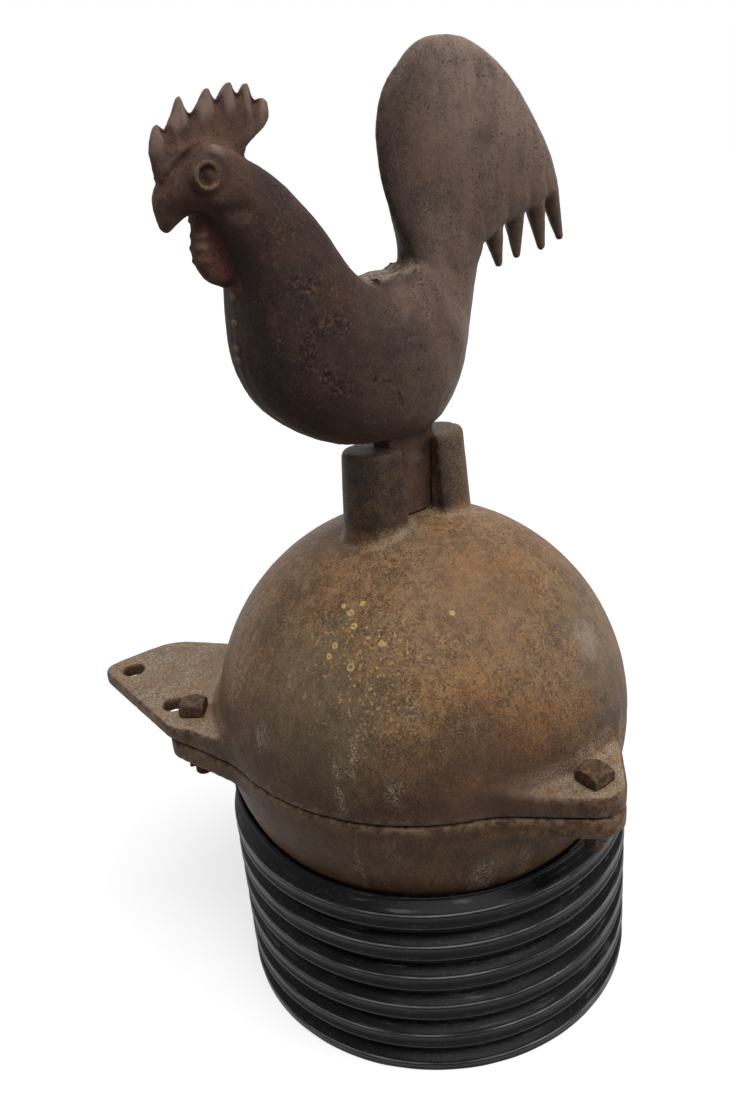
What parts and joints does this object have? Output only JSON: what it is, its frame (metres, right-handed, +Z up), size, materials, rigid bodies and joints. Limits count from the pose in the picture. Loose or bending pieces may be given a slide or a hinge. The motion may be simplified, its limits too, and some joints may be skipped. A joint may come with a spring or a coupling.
{
  "type": "windmill weight",
  "caption": "Cast-iron rooster windmill weight on a hollow bolted ball with a drilled mounting plate, standing in a ring of ribbed black plastic pipe.",
  "frame": {"origin": "middle of the stand ring's foot, on the floor", "axes": "+Z up; the rooster looks towards -X and its tail is at +X; +Y is the side of the mounting plate"},
  "size_m": [0.3016, 0.3465, 0.5897],
  "materials": {
    "ring_plastic": "satin",
    "ball_iron": "matte",
    "rooster_iron": "matte",
    "bolt_steel": "matte",
    "ballast_cement": "matte"
  },
  "bodies": {
    "ring": {"stand_ring": "ring_plastic"},
    "lower_half": {"lower_ball_half": "ball_iron", "ballast_fill": "ballast_cement"},
    "upper_half": {"upper_ball_half": "ball_iron"},
    "rooster_casting": {"rooster": "rooster_iron"},
    "crown_bolt_piece": {"crown_bolt": "bolt_steel"},
    "near_bolt": {"near_ear_bolt": "bolt_steel"},
    "near_nut": {"near_ear_nut": "bolt_steel"},
    "head_side_bolt": {"head_side_ear_bolt": "bolt_steel"},
    "head_side_nut": {"head_side_ear_nut": "bolt_steel"},
    "tail_side_bolt": {"tail_side_ear_bolt": "bolt_steel"},
    "tail_side_nut": {"tail_side_ear_nut": "bolt_steel"}
  },
  "joints": [
    {"name": "ball_lift", "type": "slide", "parent": "ring", "child": "lower_half", "axis": [0, 0, 1], "range_m": [0, 0.12]},
    {"name": "upper_half_lift", "type": "slide", "parent": "lower_half", "child": "upper_half", "axis": [0, 0, 1], "range_m": [0, 0.07]},
    {"name": "rooster_lift", "type": "slide", "parent": "upper_half", "child": "rooster_casting", "axis": [0, 0, 1], "range_m": [0, 0.06]},
    {"name": "crown_bolt_turn", "type": "hinge", "parent": "upper_half", "child": "crown_bolt_piece", "pos_m": [0, 0, 0.3049], "axis": [0, 0, 1], "continuous": true},
    {"name": "near_bolt_lift", "type": "slide", "parent": "upper_half", "child": "near_bolt", "axis": [0, 0, 1], "range_m": [0, 0.06]},
    {"name": "near_nut_turn", "type": "hinge", "parent": "lower_half", "child": "near_nut", "pos_m": [0, -0.151, 0.17045], "axis": [0, 0, 1], "continuous": true},
    {"name": "head_side_bolt_lift", "type": "slide", "parent": "upper_half", "child": "head_side_bolt", "axis": [0, 0, 1], "range_m": [0, 0.06]},
    {"name": "head_side_nut_turn", "type": "hinge", "parent": "lower_half", "child": "head_side_nut", "pos_m": [-0.13077, 0.0755, 0.17045], "axis": [0, 0, 1], "continuous": true},
    {"name": "tail_side_bolt_lift", "type": "slide", "parent": "upper_half", "child": "tail_side_bolt", "axis": [0, 0, 1], "range_m": [0, 0.06]},
    {"name": "tail_side_nut_turn", "type": "hinge", "parent": "lower_half", "child": "tail_side_nut", "pos_m": [0.13077, 0.0755, 0.17045], "axis": [0, 0, 1], "continuous": true}
  ]
}
